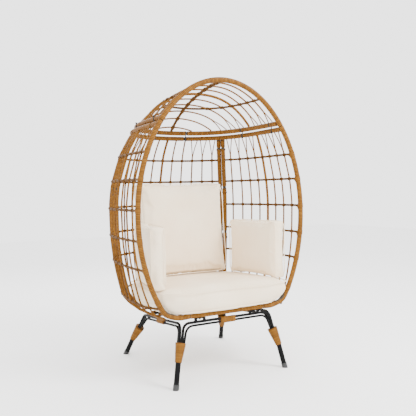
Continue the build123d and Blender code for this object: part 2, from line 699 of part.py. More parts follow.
def make_pillow():
    """An oblong pillow on its long edge along the side panel."""
    slab = rounded_slab(PILLOW_THICKNESS, PILLOW_LENGTH, PILLOW_HEIGHT)
    slab = Pos(PILLOW_THICKNESS / 2, PILLOW_LENGTH / 2, 0) * slab
    place = Pos(PILLOW_INNER, PILLOW_FRONT, seat_top(PILLOW_FRONT) + CUSHION_GAP)
    add("right_pillow", place * Rot(Z=PILLOW_TURN) * slab)


make_rim()
make_seam_bars()
make_corner_bars()
make_uprights()
make_rings()
make_hood()
make_floor()
make_bows()
make_legs()
make_seam_bolts()
make_spigots()
make_brackets()
make_seat_cushion()
make_back_cushion()
make_pillow()


# ---- the left side ----
def mirrored(solids):
    """The solids' mirror images across the chair's middle plane."""
    return [piece for solid in solids for piece in mirror(solid, about=Plane.YZ).solids()]


def mirror_right_side():
    """Every node of the right side has its twin on the left."""
    for name in [name for name in nodes if name.startswith("right_") or "_right_wrap" in name]:
        nodes[name.replace("right", "left")] = mirrored(nodes[name])
    right_bars = [solid for solid in nodes["back_panel_frame_tube"] if solid.center().X > 50]
    nodes["back_panel_frame_tube"] += mirrored(right_bars)


mirror_right_side()

# ---- move the origin and write the files ----
everything = Compound([solid for solids in nodes.values() for solid in solids])
box = everything.bounding_box()
shift = Vector(-(box.min.X + box.max.X) / 2, -(box.min.Y + box.max.Y) / 2, -box.min.Z)
print("moved by", shift, "size", box.size)
for name, solids in nodes.items():
    export_step(Compound([solid.translate(shift) for solid in solids]), f"parts/{name}.step")
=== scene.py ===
"""Looks of the wicker egg chair: wound wicker, painted steel and canvas cushions.

All lengths are in metres.  Y runs from the front rim to the back of the chair.
"""

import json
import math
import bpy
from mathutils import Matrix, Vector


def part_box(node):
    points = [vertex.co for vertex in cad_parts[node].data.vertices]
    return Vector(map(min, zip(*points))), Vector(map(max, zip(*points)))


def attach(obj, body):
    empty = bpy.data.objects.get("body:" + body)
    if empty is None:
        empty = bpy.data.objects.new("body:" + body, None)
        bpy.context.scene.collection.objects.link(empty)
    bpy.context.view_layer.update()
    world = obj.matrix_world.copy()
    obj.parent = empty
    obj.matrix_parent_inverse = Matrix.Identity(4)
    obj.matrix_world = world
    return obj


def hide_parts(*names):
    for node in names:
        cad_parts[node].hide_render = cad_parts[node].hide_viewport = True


bl_info = {
    "name": "Wicker Egg Chair",
    "version": (1, 0, 0),
    "blender": (4, 5, 0),
    "location": "3D View > Sidebar > Egg Chair",
    "description": "Builds the wound wicker, steel and cushions of an egg chair",
    "category": "Add Mesh",
}

import bmesh
import bpy
import numpy as np
from mathutils import Matrix, Vector, noise

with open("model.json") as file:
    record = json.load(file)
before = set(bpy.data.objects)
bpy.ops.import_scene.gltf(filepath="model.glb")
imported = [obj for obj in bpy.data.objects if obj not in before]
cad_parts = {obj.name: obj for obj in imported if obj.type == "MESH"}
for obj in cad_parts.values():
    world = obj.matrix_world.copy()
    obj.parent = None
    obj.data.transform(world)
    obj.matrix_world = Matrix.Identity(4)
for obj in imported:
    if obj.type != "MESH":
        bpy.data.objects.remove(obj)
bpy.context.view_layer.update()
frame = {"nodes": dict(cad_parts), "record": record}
SIDES = {"left": -1, "right": 1}

# ---- shape of the egg, as in the frame ----
FRONT_LOW, FRONT_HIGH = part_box("seat_front_wrap")
RIM_Y = (FRONT_LOW.y + FRONT_HIGH.y) / 2
RIM_HALF_WIDTH = 0.4445
CROWN = 1.4095
WIDEST = 0.775
RIM_REACH = 0.650
BASKET_REACH = 0.850
DEPTH = 0.790
DEEPEST = 0.660
DROP = 1.200
HOOD_POWER = 3.2
BLEND = 0.130
CORNER = 0.38
SEAM = 1.208
SEAM_OFFSET = 0.014
RINGS = (1.071, 0.947, 0.809, 0.672, 0.541)
TURN = 0.363
HOOD_RING = 1.335
SEAT_BAR = 0.314
FLOOR_WIDTH = 0.325
FLOOR_DEPTH = 0.690
BASE_REAR = 0.471
BACK_RODS = 5
SIDE_RODS = 8
SIDE_THICK = 4
ARCHES = 9
THICK_ARCH = 3
ARCH_PITCH = 0.064
BAR = 0.025
BAR_RADIUS = BAR / 2
EMBED = 0.001                   # how far a welded end reaches into what it is welded to
SEAM_BOLTS = (0.12, 0.58, 0.90)
CORNER_BOLTS = (1.13, 0.88, 0.61)
UPRIGHT_HEIGHTS = (1.13, 1.071, 0.947, 0.88, 0.809, 0.672, 0.61, 0.541, 0.45, TURN)
FLOOR_SLOPE = 0.04
RAIL_SLOPE = 0.10
SADDLE = 0.012                  # between the seat bar and the rail under it
BOW_RADIUS = 0.0065
BASE_HALF_WIDTH = 0.245
FOOT_HALF_WIDTH = 0.302
FOOT_FRONT = -0.046
FOOT_SPAN = 0.650

# ---- winding: ridge height, sides and step along the line ----
BAR_WINDING = (0.0006, 14, 0.0018)
THICK_ROD_WINDING = (0.0009, 9, 0.0022)
THICK_ROD_RADIUS = 0.007
ROD_RADIUS = 0.0045
RING_RADIUS = 0.006
BOLT_GAP = 0.014                # the winding is open this wide at each bolt
PANEL_GAP = 0.0015              # between the ends of two bars that meet

# ---- seat cushion, from the rim's plane backwards ----
PAD_CENTRE = 0.150
PAD_FRONT = 0.204
PAD_BACK = 0.462
PAD_THICKNESS = 0.098
PAD_LIFT = 0.004


def ellipse(offset, reach):
    """Width of an ellipse at an offset from its centre, as a share of its full width."""
    return math.sqrt(max(0.0, 1.0 - (offset / reach) ** 2))


def rim_width(z):
    """Half width of the rim at a height."""
    return RIM_HALF_WIDTH * ellipse(z - WIDEST, CROWN - WIDEST if z > WIDEST else RIM_REACH)


def basket_width(z):
    """Half width of the basket behind the rim at a height."""
    return RIM_HALF_WIDTH * ellipse(z - WIDEST, CROWN - WIDEST if z > WIDEST else BASKET_REACH)


def basket_depth(z):
    """Depth of the basket's back at a height."""
    if z <= DEEPEST:
        return DEPTH * ellipse(z - DEEPEST, DROP)
    rise = min(1.0, (z - DEEPEST) / (CROWN - DEEPEST))
    return DEPTH * math.sqrt(1.0 - rise ** HOOD_POWER)


def basket_x(y, z):
    """Half width of the basket at a depth and a height."""
    share = min(1.0, y / basket_depth(z))
    swell = basket_width(z) - rim_width(z)
    return basket_width(z) * math.sqrt(1.0 - share ** 4) - swell * max(0.0, 1.0 - y / BLEND) ** 2


def floor_height(y):
    """Height of the seat floor's centre line at a depth."""
    return SEAT_BAR - FLOOR_SLOPE * y


RING_CACHE = {}


def half_ring(z):
    """Fine points of a half ring from the middle of the back to the rim, with run lengths."""
    if z not in RING_CACHE:
        depth = basket_depth(z)
        ys = depth * np.cos(np.linspace(0, math.pi / 2, 241))
        points = np.array([(basket_x(y, z), y, z) for y in ys])
        runs = np.concatenate([[0], np.cumsum(np.linalg.norm(np.diff(points, axis=0), axis=1))])
        RING_CACHE[z] = points, runs
    return RING_CACHE[z]


def on_ring(z, share, offset=0.0, side=1):
    """Point on the ring at a height, at a share of its half length plus an offset."""
    points, runs = half_ring(z)
    wanted = min(max(share * runs[-1] + offset, 0.0), runs[-1])
    x, y = (np.interp(wanted, runs, points[:, k]) for k in (0, 1))
    return np.array((side * x, y, z))


def unit_outline(angle):
    """Distance from the centre to the outline x^2 + y^4 = 1 at an angle."""
    low, high = 0.9, 1.5
    for _ in range(40):
        middle = (low + high) / 2
        if (middle * math.cos(angle)) ** 2 + (middle * math.sin(angle)) ** 4 < 1.0:
            low = middle
        else:
            high = middle
    return low


def floor_edge(turn, side):
    """Place on the floor's edge that an upright reaches from the lowest ring."""
    angle = math.atan2(turn[1] / basket_depth(TURN), min(1.0, abs(turn[0]) / basket_width(TURN)))
    y = FLOOR_DEPTH * unit_outline(angle) * math.sin(angle)
    x = 0.0 if abs(turn[0]) < 1e-6 else FLOOR_WIDTH * unit_outline(angle) * math.cos(angle)
    return np.array((side * x, y, floor_height(y)))


def upright(share, offset, side, top):
    """Points of an upright from a height down the basket and in to the floor's edge."""
    heights = [top] + [z for z in UPRIGHT_HEIGHTS if z < top]
    points = [on_ring(z, share, offset, side) for z in heights]
    foot = floor_edge(points[-1], side)
    bend = points[-1] + (foot - points[-1]) * 0.42
    bend[2] = points[-1][2] + (foot[2] - points[-1][2]) * 0.62
    return points + [bend, foot]


def rim_side(side):
    """Points of a rim side from the seam down, round the corner and under the seat."""
    points = [(side * rim_width(z), 0, z) for z in np.linspace(SEAM - PANEL_GAP, 0.384, 28)]
    points.append((side * 0.322, 0, 0.336))
    return points + [(side * x, 0, SEAT_BAR) for x in (0.26, 0.205)]


def hood_arch(y, low):
    """Points of a hood arch at a depth, from the seam bar over the top and down again."""
    top = DEEPEST + (CROWN - DEEPEST) * (1.0 - (y / DEPTH) ** 2) ** (1.0 / HOOD_POWER)
    half = []
    for t in np.linspace(0, math.pi / 2, 17):
        z = low + (top - low) * math.sin(t)
        half.append((basket_x(y, z) if t < math.pi / 2 - 1e-6 else 0.0, y, z))
    return [(-x, y, z) for x, y, z in half[:-1]] + half[::-1]


def leg_points(side, rear):
    """Corner on the rails and foot on the ground of a leg."""
    y = BASE_REAR if rear else 0.0
    height = SEAT_BAR - BAR_RADIUS - SADDLE - BOW_RADIUS - RAIL_SLOPE * y
    foot = np.array((side * FOOT_HALF_WIDTH, FOOT_FRONT + (FOOT_SPAN if rear else 0.0), 0.0))
    return np.array((side * BASE_HALF_WIDTH, y, height)), foot


# ---- wound wicker ----
def smooth_path(points, step):
    """A smooth line through the points, divided evenly."""
    p = np.array(points, float)
    p = np.vstack([2 * p[0] - p[1], p, 2 * p[-1] - p[-2]])
    t = np.linspace(0, 1, 12, endpoint=False)[:, None]
    fine = []
    for a, b, c, d in zip(p, p[1:], p[2:], p[3:]):
        fine.append(0.5 * (2 * b + (c - a) * t + (2 * a - 5 * b + 4 * c - d) * t ** 2
                           + (3 * b - a - 3 * c + d) * t ** 3))
    fine = np.vstack(fine + [p[-2][None]])
    runs = np.concatenate([[0], np.cumsum(np.linalg.norm(np.diff(fine, axis=0), axis=1))])
    wanted = np.linspace(0, runs[-1], max(3, int(runs[-1] / step) + 1))
    return np.stack([np.interp(wanted, runs, fine[:, k]) for k in range(3)], 1), wanted


def path_frames(line):
    """Two unit vectors across the line at each of its points, without twist."""
    along = np.gradient(line, axis=0)
    along /= np.linalg.norm(along, axis=1)[:, None]
    across = np.zeros_like(line)
    guide = np.array((0.0, 1.0, 0.0)) if abs(along[0][1]) < 0.8 else np.array((0.0, 0.0, 1.0))
    for i, tangent in enumerate(along):
        guide = guide - tangent * guide.dot(tangent)
        guide = guide / np.linalg.norm(guide)
        across[i] = guide
    return across, np.cross(along, across)


class Winding:
    """Gathers wound bars and sleeves, and turns them into one piece."""

    def __init__(self, seed=1):
        self.verts, self.faces, self.groove, self.tone = [], [], [], []
        self.count = 0
        self.random = np.random.default_rng(seed)

    def bar(self, points, radius, pitch=0.007, ridge=0.0009, sides=7, step=0.0024,
            end_radius=None, square=2.0, flat=1.0):
        """A bar wound with strand: a single flat strand laid turn against turn."""
        line, runs = smooth_path(points, step)
        across, up = path_frames(line)
        radii = np.linspace(radius, end_radius or radius, len(line))[:, None]
        angle = np.linspace(0, 2 * math.pi, sides, endpoint=False)[None, :]
        turns = runs[:, None] / pitch - angle / (2 * math.pi) + self.random.random()
        crown = 1.0 - (2.0 * (turns % 1.0) - 1.0) ** 2
        reach = radii - ridge * (1.0 - crown ** 0.6)
        c, s = np.cos(angle), np.sin(angle)
        shape = (np.abs(c) ** square + np.abs(s) ** square) ** (-1.0 / square)
        ring = (across[:, None, :] * (reach * shape * c)[..., None]
                + up[:, None, :] * (reach * shape * s * flat)[..., None])
        self.verts.append((line[:, None, :] + ring).reshape(-1, 3))
        tones = self.random.random(4096)
        # groove is 1 on each turn's crown and 0 between turns; the wicker colour uses it to paint
        # shade into the valleys.
        self.groove.append(crown.reshape(-1))
        self.tone.append(tones[np.floor(turns).astype(int) % 4096].reshape(-1))
        n = len(line)
        i, j = np.meshgrid(np.arange(n - 1), np.arange(sides), indexing="ij")
        k = (j + 1) % sides
        quads = np.stack([i * sides + j, i * sides + k,
                          (i + 1) * sides + k, (i + 1) * sides + j], -1)
        self.faces.extend((quads.reshape(-1, 4) + self.count).tolist())
        self.faces.append([self.count + q for q in range(sides)][::-1])
        self.faces.append([self.count + (n - 1) * sides + q for q in range(sides)])
        self.count += n * sides

    def sleeve(self, centre, along, length, radius, sides=10):
        """A short binding of a few turns round a bar or a crossing."""
        along = np.array(along) / np.linalg.norm(along)
        ends = [np.array(centre) + along * length * t for t in (-0.5, 0.0, 0.5)]
        self.bar(ends, radius, pitch=0.0045, ridge=0.0011, sides=sides, step=0.0013)

    def piece(self, name, nodes, slot, material):
        """One mesh object in the row frame, riding on the frame in place of the nodes."""
        verts = np.vstack(self.verts)
        verts[:, 1] += RIM_Y
        mesh = bpy.data.meshes.new(name)
        mesh.from_pydata(verts.tolist(), [], self.faces)
        for label, values in (("groove", self.groove), ("tone", self.tone)):
            layer = mesh.attributes.new(label, "FLOAT", "POINT")
            layer.data.foreach_set("value", np.concatenate(values).astype(np.float32))
        mesh.polygons.foreach_set("use_smooth", [True] * len(mesh.polygons))
        mesh.materials.append(material)
        return place(name, mesh, nodes)


def place(name, mesh, nodes):
    """Link a mesh, let it ride on the frame and stand for its nodes."""
    obj = bpy.data.objects.new(name, mesh)
    bpy.context.scene.collection.objects.link(obj)
    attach(obj, "root")
    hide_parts(*nodes)
    return obj


# ---- materials ----
class Val:
    """A shader value: arithmetic on it adds Math nodes."""

    def __init__(self, kit, socket):
        self.kit, self.socket = kit, socket

    def math(self, operation, first, second):
        """A Math node on two values or numbers."""
        return self.kit.node("ShaderNodeMath", {"operation": operation}, {0: first, 1: second})

    def __add__(self, other):
        return self.math("ADD", self, other)

    def __sub__(self, other):
        return self.math("SUBTRACT", self, other)

    def __rsub__(self, other):
        return self.math("SUBTRACT", other, self)

    def __mul__(self, other):
        return self.math("MULTIPLY", self, other)

    __radd__ = __add__
    __rmul__ = __mul__


class Finish:
    """A material and the nodes that make it."""

    def __init__(self, name):
        self.material = bpy.data.materials.new(name)
        self.material.use_nodes = True
        self.tree = self.material.node_tree
        self.shader = self.tree.nodes["Principled BSDF"]

    def node(self, kind, settings=None, sockets=None, output=0):
        """A node with its settings, then the values or links of its sockets."""
        made = self.tree.nodes.new(kind)
        for key, value in (settings or {}).items():
            if key == "stops":
                ramp = made.color_ramp
                while len(ramp.elements) < len(value):
                    ramp.elements.new(0.5)
                for element, (position, colour) in zip(ramp.elements, value):
                    element.position = position
                    element.color = (*colour, 1.0)
            else:
                setattr(made, key, value)
        for key, value in (sockets or {}).items():
            if isinstance(value, Val):
                self.tree.links.new(value.socket, made.inputs[key])
            else:
                made.inputs[key].default_value = value
        return Val(self, made.outputs[output])

    def mix(self, factor, first, second, blend="MIX"):
        """A colour between two colours."""
        return self.node("ShaderNodeMix", {"data_type": "RGBA", "blend_type": blend},
                         {0: factor, 6: first, 7: second}, 2)

    def noise(self, scale, detail=3.0, stretch=(1.0, 1.0, 1.0)):
        """Noise in the row frame, from 0 to 1."""
        where = self.node("ShaderNodeTexCoord", output=3)
        moved = self.node("ShaderNodeMapping", {}, {0: where, 3: stretch})
        return self.node("ShaderNodeTexNoise", {},
                         {"Vector": moved, "Scale": scale, "Detail": detail})

    def attribute(self, name):
        """A value stored on the mesh."""
        return self.node("ShaderNodeAttribute", {"attribute_name": name}, {}, 2)

    def bump(self, height, strength, distance):
        """A relief that feeds the shader's normal."""
        return self.node("ShaderNodeBump", {}, {"Height": height, "Strength": strength,
                                                "Distance": distance})

    def feed(self, **sockets):
        """Values and links of the shader, by socket name with _ for a space."""
        for key, value in sockets.items():
            target = self.shader.inputs[key.replace("_", " ")]
            if isinstance(value, Val):
                self.tree.links.new(value.socket, target)
            else:
                target.default_value = value
        return self.material


def wicker_finish(name, colours, shade=1.0):
    """Resin wicker: painted shade darkens the valleys between the turns, honey on their crowns, no
    two turns the same.
    """
    kit = Finish(name)
    dark, middle, light = (tuple(c * shade for c in colour) for colour in colours)
    fibre = kit.noise(420.0, 2.0)
    patches = kit.noise(9.0, 3.0)
    height = kit.attribute("groove")
    # The groove value is 1 on each turn's crown and 0 in the valley between turns; weighting the
    # colour by it paints shade into the valleys.
    level = height * 0.62 + kit.attribute("tone") * 0.22 + patches * 0.26 + fibre * 0.14 - 0.16
    tint = kit.node("ShaderNodeValToRGB", {"stops": [(0.0, dark), (0.45, middle), (1.0, light)]},
                    {0: level})
    relief = kit.bump(fibre, 0.25, 0.0004)
    kit.feed(Specular_IOR_Level=0.10)
    return kit.feed(Base_Color=tint, Roughness=0.66 - height * 0.14, Normal=relief)


def steel_finish(name, colour, roughness):
    """Powder-coated steel with its fine orange-peel skin and slightly worn sheen."""
    kit = Finish(name)
    skin = kit.noise(900.0, 2.0)
    wear = kit.noise(14.0, 4.0)
    tint = kit.mix(wear, (*colour, 1.0), (*(c * 1.7 + 0.001 for c in colour), 1.0))
    relief = kit.bump(skin, 0.18, 0.0002)
    kit.feed(Coat_Roughness=0.25, Coat_Weight=0.0, Specular_IOR_Level=0.07)
    return kit.feed(Base_Color=tint, Roughness=roughness + wear * 0.14, Normal=relief)


def plastic_finish(name, colour):
    """Moulded plastic with a fine matt grain."""
    kit = Finish(name)
    grain = kit.noise(1400.0, 2.0)
    tint = kit.mix(kit.noise(30.0), (*colour, 1.0), (*(c * 1.6 for c in colour), 1.0))
    relief = kit.bump(grain, 0.2, 0.0002)
    return kit.feed(Base_Color=tint, Roughness=0.58 + grain * 0.1, Normal=relief)


def canvas_finish(name, colour, shadow):
    """Cream canvas: crossed threads, slubs and slightly darker hollows."""
    kit = Finish(name)
    where = kit.node("ShaderNodeTexCoord", output=3)
    threads = []
    for direction in ("X", "Y", "Z"):
        threads.append(kit.node(
            "ShaderNodeTexWave", {"wave_type": "BANDS", "bands_direction": direction},
            {"Vector": where, "Scale": 210.0, "Distortion": 0.6, "Detail": 1.0}, 1))
    weave = threads[0] * 0.34 + threads[1] * 0.33 + threads[2] * 0.33
    slub = kit.noise(160.0, 3.0, (1.0, 1.0, 0.25))
    soft = kit.noise(7.0, 4.0)
    tint = kit.mix(soft * 0.5 + slub * 0.2, (*colour, 1.0), (*shadow, 1.0))
    relief = kit.bump(weave * 0.7 + slub * 0.5, 0.35, 0.0005)
    kit.feed(Sheen_Weight=0.12, Sheen_Roughness=0.5)
    return kit.feed(Base_Color=tint, Roughness=0.86 + slub * 0.08, Normal=relief)


# ---- soft pieces ----
def soft_form(name, shape, cells):
    """A closed form from a unit cube's skin, moved into place by the shape function."""
    bm = bmesh.new()
    bmesh.ops.create_cube(bm, size=2.0)
    bmesh.ops.subdivide_edges(bm, edges=bm.edges[:], cuts=cells, use_grid_fill=True)
    for vert in bm.verts:
        vert.co = shape(*vert.co)
    bmesh.ops.recalc_face_normals(bm, faces=bm.faces[:])
    mesh = bpy.data.meshes.new(name)
    bm.to_mesh(mesh)
    bm.free()
    obj = bpy.data.objects.new(name, mesh)
    bpy.context.scene.collection.objects.link(obj)
    return obj


def use_modifier(obj, kind, **settings):
    """Add a modifier, set it and apply it."""
    modifier = obj.modifiers.new(kind.title(), kind)
    for key, value in settings.items():
        setattr(modifier, key, value)
    bpy.context.view_layer.objects.active = obj
    with bpy.context.temp_override(object=obj, active_object=obj, selected_objects=[obj]):
        bpy.ops.object.modifier_apply(modifier=modifier.name)


def coordinates(mesh):
    """The mesh's points as an array."""
    points = np.zeros(len(mesh.vertices) * 3)
    mesh.vertices.foreach_get("co", points)
    return points.reshape(-1, 3)


def stuff(obj, voxel, cap):
    """Fill a cover: remesh, let cloth swell under pressure, and limit how far it may move."""
    use_modifier(obj, "REMESH", mode="VOXEL", voxel_size=voxel)
    before = coordinates(obj.data)
    cloth = obj.modifiers.new("Cloth", "CLOTH")
    cloth.settings.quality = 5
    cloth.settings.use_pressure = True
    cloth.settings.uniform_pressure_force = 4.0
    cloth.settings.effector_weights.gravity = 0.0
    cloth.collision_settings.use_collision = False
    scene = bpy.context.scene
    scene.frame_start, scene.frame_end = 1, 20
    for number in range(1, 21):
        scene.frame_set(number)
    evaluated = obj.evaluated_get(bpy.context.evaluated_depsgraph_get())
    after = coordinates(evaluated.data)
    obj.modifiers.remove(cloth)
    scene.frame_set(1)
    moved = after - before
    length = np.maximum(np.linalg.norm(moved, axis=1), 1e-9)
    moved *= np.minimum(1.0, cap / length)[:, None]
    obj.data.vertices.foreach_set("co", (before + moved).ravel())
    obj.data.update()


def crease(obj, folds):
    """Press shallow folds into a stuffed piece along its normals."""
    mesh = obj.data
    points = coordinates(mesh)
    normals = np.zeros(points.size)
    mesh.vertex_normals.foreach_get("vector", normals)
    depths = np.array([folds(Vector(point)) for point in points])
    mesh.vertices.foreach_set("co", (points - normals.reshape(-1, 3) * depths[:, None]).ravel())
    mesh.update()


def seam_cord(name, points, radius, parent, material):
    """The stitched seam that runs round a cushion, as a closed cord of doubled fabric."""
    winding = Winding(5)
    winding.bar([*points, points[0]], radius, pitch=0.006, ridge=0.0004, sides=8, step=0.004)
    verts = np.vstack(winding.verts)
    mesh = bpy.data.meshes.new(name)
    mesh.from_pydata(verts.tolist(), [], winding.faces)
    mesh.polygons.foreach_set("use_smooth", [True] * len(mesh.polygons))
    mesh.materials.append(material)
    obj = bpy.data.objects.new(name, mesh)
    bpy.context.scene.collection.objects.link(obj)
    obj.parent = parent
    return obj


def finish_cushion(obj, material, nodes):
    """Smooth a stuffed piece, dress it and let it stand for its node."""
    use_modifier(obj, "SUBSURF", levels=1)
    obj.data.polygons.foreach_set("use_smooth", [True] * len(obj.data.polygons))
    obj.data.materials.clear()
    obj.data.materials.append(material)
    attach(obj, "root")
    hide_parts(*nodes)


def rounded(value, power):
    """Rounds a box's skin off towards its edges."""
    return math.copysign(abs(value) ** power, value)


# ---- settings ----
class EggChairSettings(bpy.types.PropertyGroup):
    """Sizes and colours that can be changed before the pieces are built."""

    strand: bpy.props.FloatProperty(
        name="Strand Width", description="Width of the strand wound round the bars",
        default=0.0072, min=0.003, unit="LENGTH")
    thin_strand: bpy.props.FloatProperty(
        name="Thin Strand Width", description="Width of the strand wound round the rods",
        default=0.0072, min=0.003, unit="LENGTH")
    split: bpy.props.FloatProperty(
        name="Split Length", description="How far below the seam each upright splits in two",
        default=0.080, min=0.02, unit="LENGTH")
    spread: bpy.props.FloatProperty(
        name="Split Spread", description="Half distance between the split strands at the seam",
        default=0.017, min=0.004, unit="LENGTH")
    wicker: bpy.props.FloatVectorProperty(
        name="Wicker", description="Colour on the crown of the strands",
        default=(0.245, 0.104, 0.012), size=3, subtype="COLOR")
    canvas: bpy.props.FloatVectorProperty(
        name="Canvas", description="Colour of the cushion covers",
        default=(0.90, 0.79, 0.62), size=3, subtype="COLOR")
    metal: bpy.props.FloatVectorProperty(
        name="Base Metal", description="Colour of the painted base",
        default=(0.002, 0.002, 0.0022), size=3, subtype="COLOR")


FINISHES = {}


def finish_of(name):
    """The material of a finish, made at its first use."""
    if name not in FINISHES:
        chosen = bpy.context.scene.egg_chair
        light = tuple(chosen.wicker)
        # The first stop, near black, is painted shade for the valleys between the turns.
        gold = ((0.014, 0.0045, 0.0006), (0.098, 0.037, 0.004), light)
        shadow = (0.70, 0.50, 0.28)
        make = {
            "wicker": lambda: wicker_finish("honey_wicker", gold),
            "dark_wicker": lambda: wicker_finish("dark_wicker", gold, 0.55),
            "black_steel": lambda: steel_finish("satin_black_steel", tuple(chosen.metal), 0.34),
            # The inner tubes, seen only through the bolt gaps in the winding, are coloured near
            # black.
            "bare_steel": lambda: steel_finish("near_black_inner_steel", (0.03, 0.026, 0.02), 0.5),
            "black_fasteners": lambda: steel_finish("black_bolts", (0.02, 0.02, 0.02), 0.3),
            "foot_plastic": lambda: plastic_finish("foot_plastic", (0.014, 0.014, 0.014)),
            "canvas": lambda: canvas_finish("cream_canvas", tuple(chosen.canvas), shadow),
        }
        FINISHES[name] = make[name]()
    return FINISHES[name]


def with_gaps(points, places, width):
    """The runs of a line that are left between gaps at places given as distances along it."""
    line, runs = smooth_path(points, 0.004)
    edges = [0.0]
    for distance in sorted(places):
        edges += [distance - width / 2, distance + width / 2]
    edges.append(runs[-1])
    kept = []
    for low, high in zip(edges[::2], edges[1::2]):
        if high - low > 0.012:
            wanted = np.linspace(low, high, max(3, int((high - low) / 0.01)))
            kept.append(np.stack([np.interp(wanted, runs, line[:, k]) for k in range(3)], 1))
    return kept


# ---- operators ----
class EGGCHAIR_OT_rim(bpy.types.Operator):
    """Wind the rim: the hood's arch, both sides and the bar under the seat"""

    bl_idname = "egg_chair.rim"
    bl_label = "Rim"

    def execute(self, context):
        strand = context.scene.egg_chair.strand
        arch = Winding(11)
        start = math.asin((SEAM + PANEL_GAP - WIDEST) / (CROWN - WIDEST))
        angles = np.linspace(start, math.pi - start, 40)
        arch.bar([(RIM_HALF_WIDTH * math.cos(a), 0, WIDEST + (CROWN - WIDEST) * math.sin(a))
                  for a in angles], BAR_RADIUS, strand, *BAR_WINDING)
        arch.piece("hood_rim", ["hood_rim_wrap"], "wicker", finish_of("wicker"))
        for name, side in SIDES.items():
            rim = Winding(12 + side)
            rim.bar(rim_side(side), BAR_RADIUS, strand, *BAR_WINDING)
            for z in RINGS + (TURN + 0.03,):
                slope = (rim_width(z + 0.01) - rim_width(z - 0.01)) / 0.02
                rim.sleeve((side * rim_width(z), 0, z), (side * slope, 0, 1), 0.022, 0.0138, 14)
            rim.piece(f"{name}_rim", [f"{name}_rim_wrap"], "wicker", finish_of("wicker"))
        bar = Winding(15)
        bar.bar([(-0.2, 0, SEAT_BAR), (0, 0, SEAT_BAR), (0.2, 0, SEAT_BAR)],
                BAR_RADIUS, strand, *BAR_WINDING)
        bar.piece("seat_front_bar", ["seat_front_wrap"], "wicker", finish_of("wicker"))
        return {"FINISHED"}


class EGGCHAIR_OT_seams(bpy.types.Operator):
    """Wind the paired bars along the level seam and the two corner seams"""

    bl_idname = "egg_chair.seams"
    bl_label = "Seam Bars"

    def execute(self, context):
        strand = context.scene.egg_chair.strand
        self.level(strand)
        top = SEAM - SEAM_OFFSET - BAR_RADIUS
        for name, side in SIDES.items():
            for offset, label, node in ((-SEAM_OFFSET, "corner_inner", f"back_panel_{name}_wrap"),
                                        (SEAM_OFFSET, "corner_outer", f"{name}_panel_rear_wrap")):
                points = upright(CORNER, offset, side, top)
                corner = Winding(30 + side)
                for run in with_gaps(points, [top - z for z in CORNER_BOLTS], BOLT_GAP):
                    corner.bar(run, BAR_RADIUS, strand, *BAR_WINDING)
                corner.piece(f"{name}_{label}", [node], "wicker", finish_of("wicker"))
        return {"FINISHED"}

    def level(self, strand):
        """Wind the hood's seam bar and the top bars of the three panels."""
        high, low = SEAM + SEAM_OFFSET, SEAM - SEAM_OFFSET
        inset = BAR_RADIUS - EMBED
        shares = np.linspace(0, 1, 30)
        half = [on_ring(high, t, -inset * t) for t in shares]
        hood = Winding(21)
        length = half_ring(high)[1][-1]
        middle = length - inset
        gaps = [middle + s * t * length for t in SEAM_BOLTS for s in (-1, 1)]
        whole = [p * (-1, 1, 1) for p in half[:0:-1]] + half
        for run in with_gaps(whole, gaps, BOLT_GAP):
            hood.bar(run, BAR_RADIUS, strand, *BAR_WINDING)
        hood.piece("hood_seam_bar", ["hood_seam_wrap"], "wicker", finish_of("wicker"))
        back = Winding(22)
        length = half_ring(low)[1][-1]
        half = [on_ring(low, t * CORNER, -PANEL_GAP * t) for t in np.linspace(0, 1, 12)]
        whole = [p * (-1, 1, 1) for p in half[:0:-1]] + half
        middle = CORNER * length - PANEL_GAP
        gaps = [middle + s * SEAM_BOLTS[0] * length for s in (-1, 1)]
        for run in with_gaps(whole, gaps, BOLT_GAP):
            back.bar(run, BAR_RADIUS, strand, *BAR_WINDING)
        back.piece("back_top_bar", ["back_panel_top_wrap"], "wicker", finish_of("wicker"))
        for name, side in SIDES.items():
            panel = Winding(23 + side)
            points = [on_ring(low, CORNER + (1 - CORNER) * t,
                              PANEL_GAP * (1 - t) - inset * t, side)
                      for t in np.linspace(0, 1, 20)]
            for run in with_gaps(points, [(t - CORNER) * length for t in SEAM_BOLTS[1:]], BOLT_GAP):
                panel.bar(run, BAR_RADIUS, strand, *BAR_WINDING)
            panel.piece(f"{name}_top_bar", [f"{name}_panel_top_wrap"], "wicker",
                        finish_of("wicker"))


